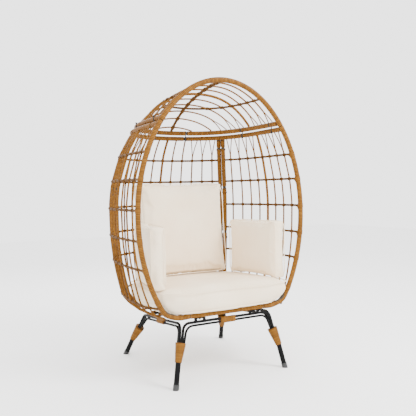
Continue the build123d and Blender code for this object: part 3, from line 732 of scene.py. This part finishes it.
class EGGCHAIR_OT_uprights(bpy.types.Operator):
    """Wind the uprights of the three panels and split the thin ones below the seam"""

    bl_idname = "egg_chair.uprights"
    bl_label = "Uprights"

    def execute(self, context):
        chosen = context.scene.egg_chair
        top = SEAM - SEAM_OFFSET - BAR_RADIUS + 0.001
        spine = Winding(41)
        spine.bar(upright(0.0, 0.0, 1, top), THICK_ROD_RADIUS, chosen.thin_strand,
                  *THICK_ROD_WINDING)
        spine.piece("back_spine", ["back_panel_spine"], "wicker", finish_of("wicker"))
        back = Winding(42)
        for side in SIDES.values():
            for i in range(BACK_RODS):
                self.thin(back, CORNER * (i + 1) / (BACK_RODS + 1), side, top, chosen, i > 1)
        back.piece("back_rods", ["back_panel_rods"], "wicker", finish_of("wicker"))
        for name, side in SIDES.items():
            rods, thick = Winding(43 + side), Winding(46 + side)
            for i in range(SIDE_RODS):
                share = CORNER + (1 - CORNER) * (i + 1) / (SIDE_RODS + 1)
                if i == SIDE_THICK:
                    thick.bar(upright(share, 0.0, side, top), THICK_ROD_RADIUS,
                              chosen.thin_strand, *THICK_ROD_WINDING)
                else:
                    self.thin(rods, share, side, top, chosen, True)
            rods.piece(f"{name}_rods", [f"{name}_panel_rods"], "wicker", finish_of("wicker"))
            thick.piece(f"{name}_thick_rod", [f"{name}_panel_thick_rod"], "wicker",
                        finish_of("wicker"))
        return {"FINISHED"}

    def thin(self, winding, share, side, top, chosen, splits):
        """Wind one thin upright, and its two strands where it splits."""
        if not splits:
            winding.bar(upright(share, 0.0, side, top), ROD_RADIUS, chosen.thin_strand)
            return
        fork = top - chosen.split
        winding.bar(upright(share, 0.0, side, fork), ROD_RADIUS, chosen.thin_strand)
        for way in (-1, 1):
            ends = [on_ring(fork - 0.012, share, 0.0, side),
                    on_ring(fork + chosen.split * 0.45, share, way * chosen.spread * 0.45, side),
                    on_ring(top, share, way * chosen.spread, side)]
            winding.bar(ends, 0.0029, 0.006, 0.0005, 6, 0.003)


class EGGCHAIR_OT_rings(bpy.types.Operator):
    """Wind the level rings, knot them at every crossing and stay them to the rim"""

    bl_idname = "egg_chair.rings"
    bl_label = "Rings"

    def execute(self, context):
        pitch = context.scene.egg_chair.thin_strand
        gap = SEAM_OFFSET + BAR_RADIUS - EMBED
        back = Winding(51)
        panels = {name: Winding(52 + side) for name, side in SIDES.items()}
        for z in RINGS + (TURN,):
            half = [on_ring(z, CORNER * t, -gap * t) for t in np.linspace(0, 1, 12)]
            back.bar([p * (-1, 1, 1) for p in half[:0:-1]] + half, RING_RADIUS, pitch, 0.001, 8)
            self.knots(back, z, [0.0], 1)
            for name, side in SIDES.items():
                reach = BAR_RADIUS - EMBED
                points = [on_ring(z, CORNER + (1 - CORNER) * t, gap * (1 - t) - reach * t, side)
                          for t in np.linspace(0, 1, 20)]
                panels[name].bar(points, RING_RADIUS, pitch, 0.001, 8)
                self.knots(back, z, [CORNER * (i + 1) / (BACK_RODS + 1) for i in range(BACK_RODS)],
                           side)
                self.knots(panels[name], z, [CORNER + (1 - CORNER) * (i + 1) / (SIDE_RODS + 1)
                                             for i in range(SIDE_RODS)], side)
                if z != TURN:
                    ends = [on_ring(z, 1.0, -0.045, side), on_ring(z - 0.008, 1.0, -0.024, side),
                            on_ring(z - 0.030, 1.0, -0.013, side)]
                    panels[name].bar(ends, 0.0035, 0.006, 0.0006, 7, 0.0025)
        back.piece("back_rings", ["back_panel_rings"], "dark_wicker", finish_of("dark_wicker"))
        for name, winding in panels.items():
            winding.piece(f"{name}_rings", [f"{name}_panel_rings"], "dark_wicker",
                          finish_of("dark_wicker"))
        return {"FINISHED"}

    def knots(self, winding, z, shares, side):
        """Bind a ring to the uprights that it crosses."""
        for share in shares:
            centre = on_ring(z, share, 0.0, side)
            before = on_ring(z, share, -0.004 if share else 0.0, side)
            along = on_ring(z, share, 0.004, side) - before
            winding.sleeve(centre, along, 0.015, 0.0082)


class EGGCHAIR_OT_hood(bpy.types.Operator):
    """Wind the hood's arches, ring and knotted spine"""

    bl_idname = "egg_chair.hood"
    bl_label = "Hood"

    def execute(self, context):
        chosen = context.scene.egg_chair
        low = SEAM + SEAM_OFFSET + BAR_RADIUS - EMBED
        arches = Winding(61)
        for i in range(ARCHES):
            y = ARCH_PITCH * (i + 1)
            if i == THICK_ARCH:
                arches.bar(hood_arch(y, low), 0.007, chosen.thin_strand, 0.0009, 9, 0.0022)
                continue
            points = np.array(hood_arch(y, low))
            fork = low + chosen.split * 0.55
            if points[:, 2].max() < fork + 0.03:
                arches.bar(points, 0.0045, chosen.thin_strand)
                continue
            arches.bar(points[points[:, 2] > fork], 0.0045, chosen.thin_strand)
            for side in SIDES.values():
                self.fork(arches, y, low, fork, side, chosen.spread)
        arches.piece("hood_arches_wound", ["hood_arches"], "wicker", finish_of("wicker"))
        ring = Winding(62)
        half = [on_ring(HOOD_RING, t, -0.0115 * t) for t in np.linspace(0, 1, 24)]
        ring.bar([p * (-1, 1, 1) for p in half[:0:-1]] + half, 0.006, chosen.thin_strand, 0.001, 8)
        for i in range(ARCHES):
            y = ARCH_PITCH * (i + 1)
            if y < basket_depth(HOOD_RING) - 0.02:
                for side in SIDES.values():
                    centre = (side * basket_x(y, HOOD_RING), y, HOOD_RING)
                    ahead = (side * basket_x(y + 0.01, HOOD_RING), y + 0.01, HOOD_RING)
                    ring.sleeve(centre, np.array(ahead) - np.array(centre), 0.016, 0.0085)
        ring.piece("hood_ring_wound", ["hood_ring"], "dark_wicker", finish_of("dark_wicker"))
        self.spine(low, chosen.thin_strand)
        return {"FINISHED"}

    def fork(self, winding, y, low, high, side, spread):
        """The two strands at the foot of an arch."""
        for way in (-1, 1):
            ends = []
            for t in (0.0, 0.5, 1.0):
                z = high + 0.012 + (low - high - 0.012) * t
                depth = min(max(y + way * spread * t, 0.012), basket_depth(z) - 0.002)
                ends.append((side * basket_x(depth, z), depth, z))
            winding.bar(ends, 0.0029, 0.006, 0.0005, 6, 0.003)

    def spine(self, low, pitch):
        """The knotted spine from the seam over the top to the rim."""
        start = (low - DEEPEST) / (CROWN - DEEPEST)
        depth = basket_depth(low)
        points = []
        for y in np.linspace(depth, BAR_RADIUS - EMBED, 28):
            rise = max(start, (1.0 - (y / DEPTH) ** 2) ** (1.0 / HOOD_POWER))
            points.append((0, y, DEEPEST + (CROWN - DEEPEST) * rise))
        spine = Winding(63)
        spine.bar(points, 0.0078, pitch, 0.0012, 10, 0.002)
        line = smooth_path(points, 0.004)[0]
        for i in range(ARCHES):
            k = int(np.argmin(np.abs(line[:, 1] - ARCH_PITCH * (i + 1))))
            spine.sleeve(line[k], line[min(k + 1, len(line) - 1)] - line[k - 1], 0.018, 0.0105)
        spine.piece("hood_spine_wound", ["hood_spine"], "dark_wicker", finish_of("dark_wicker"))


class EGGCHAIR_OT_floor(bpy.types.Operator):
    """Wind the seat floor: its edge, rear bar, slats and cross rods"""

    bl_idname = "egg_chair.floor"
    bl_label = "Seat Floor"

    def execute(self, context):
        chosen = context.scene.egg_chair
        edge, points = Winding(71), []
        for angle in np.linspace(0, math.pi, 60):
            reach = unit_outline(min(angle, math.pi - angle))
            y = max(FLOOR_DEPTH * reach * math.sin(angle), 0.0115)
            points.append((FLOOR_WIDTH * reach * math.cos(angle), y, floor_height(y)))
        edge.bar(points, 0.007, chosen.thin_strand, 0.0009, 9, 0.0022)
        edge.piece("seat_edge", ["seat_edge_ring"], "wicker", finish_of("wicker"))
        rear, z = Winding(72), floor_height(BASE_REAR)
        reach = FLOOR_WIDTH * math.sqrt(1 - (BASE_REAR / FLOOR_DEPTH) ** 4) - 0.006
        rear.bar([(x * reach, BASE_REAR, z) for x in (-1, 0, 1)], BAR_RADIUS, chosen.strand,
                 0.0006, 14, 0.0018)
        rear.piece("seat_rear_bar", ["seat_rear_wrap"], "wicker", finish_of("wicker"))
        slats = Winding(73)
        for i in range(7):
            x = 0.074 * (i - 3)
            back = FLOOR_DEPTH * (1 - (x / FLOOR_WIDTH) ** 2) ** 0.25 - 0.006
            for low, high in ((0.0115, BASE_REAR - 0.0115), (BASE_REAR + 0.0115, back)):
                slats.bar([(x, y, floor_height(y)) for y in (low, (low + high) / 2, high)], 0.0045,
                          chosen.thin_strand)
        slats.piece("seat_slats_wound", ["seat_slats"], "wicker", finish_of("wicker"))
        cross = Winding(74)
        for i in range(4):
            y = BASE_REAR * (i + 1) / 5
            reach = FLOOR_WIDTH * math.sqrt(1 - (y / FLOOR_DEPTH) ** 4) - 0.007
            cross.bar([(x * reach, y, floor_height(y) + 0.008) for x in (-1, 0, 1)], 0.0045,
                      chosen.thin_strand)
        cross.piece("seat_cross_wound", ["seat_cross_rods"], "wicker", finish_of("wicker"))
        return {"FINISHED"}


class EGGCHAIR_OT_bindings(bpy.types.Operator):
    """Wind the collars of the legs and the bindings in the middle of the rails"""

    bl_idname = "egg_chair.bindings"
    bl_label = "Leg and Rail Bindings"

    def execute(self, context):
        for rear in (False, True):
            for name, side in SIDES.items():
                self.collar(name, side, rear)
        rails = Winding(85)
        for ends in (((-1, False), (1, False)), ((-1, True), (1, True)),
                     ((-1, False), (-1, True)), ((1, False), (1, True))):
            start, end = (leg_points(*leg)[0] for leg in ends)
            middle = (start + end) / 2 + (0, 0, -0.0075)
            along = (end - start) / np.linalg.norm(end - start)
            points = [middle + along * t for t in (-0.039, 0.0, 0.039)]
            self.rail(rails, points, 0.0155 / 0.0095)
        rails.piece("rail_bindings", ["rail_wraps"], "wicker", finish_of("wicker"))
        return {"FINISHED"}

    def rail(self, winding, points, flat):
        """Wind one binding, taller than it is deep, round the two bows of a side."""
        line = np.array(points)
        winding.bar(points, 0.0095, 0.0052, 0.0009, 18, 0.0013, square=3.2)
        verts = winding.verts[-1]
        centre = line.mean(0)
        along = (line[-1] - line[0]) / np.linalg.norm(line[-1] - line[0])
        offset = verts - centre
        run = offset @ along
        axis_z = centre[2] + run * along[2]
        verts[:, 2] = axis_z + (verts[:, 2] - axis_z) * flat
        winding.verts[-1] = verts

    def collar(self, name, side, rear):
        """Wind one collar, gathering the four bow ends down to the foot tube."""
        label = f"{'rear' if rear else 'front'}_{name}"
        corner, foot = leg_points(side, rear)
        front_corner, front_foot = leg_points(1, False)
        length = np.linalg.norm(foot - corner)
        drop = 0.088 * length / np.linalg.norm(front_foot - front_corner)
        down = (foot - corner) / length
        top = corner + down * drop
        bottom = top + down * 0.084
        lean = np.array((-side, -1 if rear else 1, 0)) * 0.00806
        collar = Winding(81)
        collar.bar([top + lean, (top + bottom + lean) / 2, bottom], 0.0245, 0.0052, 0.0010, 20,
                   0.0013, end_radius=0.0152, square=2.3)
        collar.piece(f"{label}_binding", [f"{label}_collar"], "wicker", finish_of("wicker"))


class EGGCHAIR_OT_metalwork(bpy.types.Operator):
    """Paint the base, feet, tubes and fasteners of the frame"""

    bl_idname = "egg_chair.metalwork"
    bl_label = "Metalwork and Feet"

    def execute(self, context):
        slots = {s["node"]: s["material_slot"] for s in frame["record"]["subparts"]}
        for node, obj in frame["nodes"].items():
            if slots[node] in ("black_steel", "bare_steel", "black_fasteners", "foot_plastic"):
                obj.data.materials.clear()
                obj.data.materials.append(finish_of(slots[node]))
        return {"FINISHED"}


class EGGCHAIR_OT_seat_cushion(bpy.types.Operator):
    """Stuff the D-shaped seat cushion and sew its two seams"""

    bl_idname = "egg_chair.seat_cushion"
    bl_label = "Seat Cushion"

    def execute(self, context):
        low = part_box("seat_cushion")[0]
        base = low.z + PAD_LIFT + FLOOR_SLOPE * (PAD_CENTRE + PAD_BACK)

        def outline(angle, level):
            half = 0.316 + 0.038 * min(1.0, level / 0.45) + 0.008 * max(0.0, level - 0.45)
            power = 4.0 + 3.0 * level
            c, s = math.cos(angle), math.sin(angle)
            reach = (abs(c) ** 2 + abs(s) ** (power if s < 0 else 4)) ** -0.5
            x, y = half * c, (PAD_FRONT if s < 0 else PAD_BACK) * s
            scale = min(reach, 1.22)
            x, y = x * scale, PAD_CENTRE + y * scale
            ahead = min(1.0, max(0.0, (-0.014 - y) / 0.022))
            out = 0.045 if x > 0 else 0.010
            out *= ahead * min(1.0, level * 1.6) * min(1.0, abs(x) / 0.25) ** 2
            return x + math.copysign(out, x), y

        def shape(u, v, w):
            angle = math.atan2(v, u)
            square = max(abs(u), abs(v))
            level = (w + 1) / 2
            x, y = outline(angle, level)
            edge = 1.0 - 0.035 * abs(w) ** 3
            x, y = x * square * edge, PAD_CENTRE + (y - PAD_CENTRE) * square * edge
            crown = (1 - min(1.0, square) ** 4) * 0.012 * max(0.0, w)
            z = base + PAD_THICKNESS * level + crown - FLOOR_SLOPE * y
            return Vector((x, y + RIM_Y, z))

        cushion = soft_form("seat_pad", shape, 23)
        stuff(cushion, 0.006, 0.010)

        def folds(co):
            x, y = co.x, co.y - RIM_Y
            depth = 0.0015 * noise.noise(Vector((x * 9, y * 9, co.z * 14)))
            near = math.exp(-((x + 0.31) ** 2 + (y + 0.02) ** 2) / 0.004)
            return depth + near * 0.004 * math.sin(60 * co.z + 30 * x)

        crease(cushion, folds)
        finish_cushion(cushion, finish_of("canvas"), ["seat_cushion"])
        for label, level, rise in (("upper", 1.0, 0.0), ("lower", 0.0, 0.004)):
            points = []
            for angle in np.linspace(0, 2 * math.pi, 96, endpoint=False):
                x, y = outline(angle, level)
                x, y = x * 0.985, PAD_CENTRE + (y - PAD_CENTRE) * 0.985
                height = base + PAD_THICKNESS * level - FLOOR_SLOPE * y + rise
                points.append((x, y + RIM_Y, height))
            seam_cord(f"seat_pad_{label}_seam", points, 0.0024, cushion, finish_of("canvas"))
        return {"FINISHED"}


def block_cushion(name, node, size, turn, centre, seeds, cap, voxel):
    """Stuff a boxed cushion: crowned faces, sides pulled in between full corners."""
    half = [s / 2 for s in size]
    thin = half.index(min(half))

    def shape(*unit):
        co = [rounded(c, 0.9) for c in unit]
        flat = [k for k in range(3) if k != thin]
        a, b = (unit[k] for k in flat)
        swell = (1 - a * a) * (1 - b * b)
        place_ = [0.0, 0.0, 0.0]
        place_[thin] = co[thin] * half[thin] * (0.80 + 0.18 * swell ** 0.6)
        for k, other in ((flat[0], b), (flat[1], a)):
            pull = 1.0 - 0.022 * (1 - other * other) * abs(unit[k]) ** 3
            bulge = 1.0 - 0.02 * abs(unit[thin]) ** 2
            place_[k] = unit[k] * half[k] * pull * bulge
        return Vector(place_)

    cushion = soft_form(name, shape, 19)
    stuff(cushion, voxel, cap)

    def folds(co):
        depth = 0.0012 * noise.noise(co * 11 + Vector((seeds, 0, 0)))
        edge = max(abs(co[k]) / half[k] for k in range(3) if k != thin)
        pucker = max(0.0, edge - 0.80) * 0.012 * noise.noise(Vector((co.x, co.y, co.z)) * 48)
        return depth + pucker

    crease(cushion, folds)
    cushion.data.transform(turn.to_4x4())
    cushion.data.transform(Matrix.Translation(centre))
    finish_cushion(cushion, finish_of("canvas"), [node])
    flat = [k for k in range(3) if k != thin]
    for way in (-1, 1):
        points = []
        for angle in np.linspace(0, 2 * math.pi, 88, endpoint=False):
            c, s = math.cos(angle), math.sin(angle)
            reach = (abs(c) ** 9 + abs(s) ** 9) ** (-1 / 9)
            a, b = c * reach, s * reach
            spot = [0.0, 0.0, 0.0]
            spot[thin] = way * half[thin] * 0.80
            spot[flat[0]] = a * half[flat[0]] * (0.984 - 0.022 * (1 - b * b))
            spot[flat[1]] = b * half[flat[1]] * (0.984 - 0.022 * (1 - a * a))
            points.append(tuple(turn @ Vector(spot) + centre))
        label = "inner" if way < 0 else "outer"
        seam_cord(f"{name}_{label}_seam", points, 0.0022, cushion, finish_of("canvas"))


class EGGCHAIR_OT_back_cushion(bpy.types.Operator):
    """Stuff the square back cushion"""

    bl_idname = "egg_chair.back_cushion"
    bl_label = "Back Cushion"

    def execute(self, context):
        low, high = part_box("back_cushion")
        turn = Matrix.Rotation(math.radians(-5.5), 3, "X")
        block_cushion("back_pad", "back_cushion", (0.508, 0.156, 0.508), turn, (low + high) / 2,
                      3.0, 0.012, 0.006)
        return {"FINISHED"}


class EGGCHAIR_OT_pillows(bpy.types.Operator):
    """Stuff the two side pillows"""

    bl_idname = "egg_chair.pillows"
    bl_label = "Side Pillows"

    def execute(self, context):
        for name, side in SIDES.items():
            low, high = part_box(f"{name}_pillow")
            turn = Matrix.Rotation(math.radians(side * 10.0), 3, "Z")
            block_cushion(f"{name}_pad", f"{name}_pillow", (0.082, 0.366, 0.298), turn,
                          (low + high) / 2, 7.0 + side, 0.008, 0.005)
        return {"FINISHED"}


class EGGCHAIR_OT_stage(bpy.types.Operator):
    """Lay a pale floor, set soft lights and place the camera"""

    bl_idname = "egg_chair.stage"
    bl_label = "Stage"

    def execute(self, context):
        scene = context.scene
        mesh = bpy.data.meshes.new("floor")
        mesh.from_pydata([(-8, -8, 0), (8, -8, 0), (8, 8, 0), (-8, 8, 0)], [], [(0, 1, 2, 3)])
        floor = bpy.data.objects.new("floor", mesh)
        scene.collection.objects.link(floor)
        kit = Finish("pale_floor")
        mesh.materials.append(kit.feed(Base_Color=(0.93, 0.93, 0.93, 1.0), Roughness=0.9))
        world = scene.world or bpy.data.worlds.new("studio")
        scene.world = world
        world.use_nodes = True
        world.node_tree.nodes["Background"].inputs[0].default_value = (1.0, 1.0, 1.0, 1.0)
        world.node_tree.nodes["Background"].inputs[1].default_value = 3.0
        for label, spot, size, power in (("key", (1.6, -2.6, 2.9), 1.2, 190.0),
                                         ("fill", (-2.6, -1.6, 1.6), 2.2, 18.0),
                                         ("back", (0.3, 2.6, 2.6), 1.8, 50.0)):
            data = bpy.data.lights.new(label, "AREA")
            data.size, data.energy = size, power
            lamp = bpy.data.objects.new(label, data)
            lamp.location = spot
            aim = Vector((0, 0, 0.7)) - Vector(spot)
            lamp.rotation_euler = aim.to_track_quat("-Z", "Y").to_euler()
            scene.collection.objects.link(lamp)
        data = bpy.data.cameras.new("camera")
        data.lens, data.sensor_width = 47.2, 36.0
        data.shift_x, data.shift_y = -0.0144, 0.0298
        camera = bpy.data.objects.new("camera", data)
        a, e, r = math.radians(29.0), math.radians(-3.15), math.radians(-1.0)
        ahead = Vector((math.sin(a) * math.cos(e), math.cos(a) * math.cos(e), math.sin(e)))
        right = Vector((math.cos(a), -math.sin(a), 0.0))
        up = right.cross(ahead)
        across = right * math.cos(r) + up * math.sin(r)
        above = up * math.cos(r) - right * math.sin(r)
        turn = Matrix((across, above, -ahead)).transposed()
        camera.matrix_world = Matrix.Translation((-1.306, -2.605, 0.893)) @ turn.to_4x4()
        scene.collection.objects.link(camera)
        scene.camera = camera
        return {"FINISHED"}


PIECES = (EGGCHAIR_OT_rim, EGGCHAIR_OT_seams, EGGCHAIR_OT_uprights, EGGCHAIR_OT_rings,
          EGGCHAIR_OT_hood, EGGCHAIR_OT_floor, EGGCHAIR_OT_bindings, EGGCHAIR_OT_metalwork,
          EGGCHAIR_OT_seat_cushion, EGGCHAIR_OT_back_cushion, EGGCHAIR_OT_pillows,
          EGGCHAIR_OT_stage)


class EGGCHAIR_PT_panel(bpy.types.Panel):
    """Lists the chair's settings and the operators that build it"""

    bl_label = "Egg Chair"
    bl_idname = "EGGCHAIR_PT_panel"
    bl_space_type = "VIEW_3D"
    bl_region_type = "UI"
    bl_category = "Egg Chair"

    def draw(self, context):
        """Show the settings, then a button for each piece."""
        for name in EggChairSettings.__annotations__:
            self.layout.prop(context.scene.egg_chair, name)
        for operator in PIECES:
            self.layout.operator(operator.bl_idname)


def register():
    """Register the settings, the operators and the panel."""
    for cls in (EggChairSettings, *PIECES, EGGCHAIR_PT_panel):
        bpy.utils.register_class(cls)
    bpy.types.Scene.egg_chair = bpy.props.PointerProperty(type=EggChairSettings)


def unregister():
    """Remove what register added."""
    del bpy.types.Scene.egg_chair
    for cls in (EGGCHAIR_PT_panel, *reversed(PIECES), EggChairSettings):
        bpy.utils.unregister_class(cls)


def main():
    """Build every piece."""
    register()
    for operator in PIECES:
        group, name = operator.bl_idname.split(".")
        getattr(getattr(bpy.ops, group), name)()


if __name__ == "__main__":
    main()
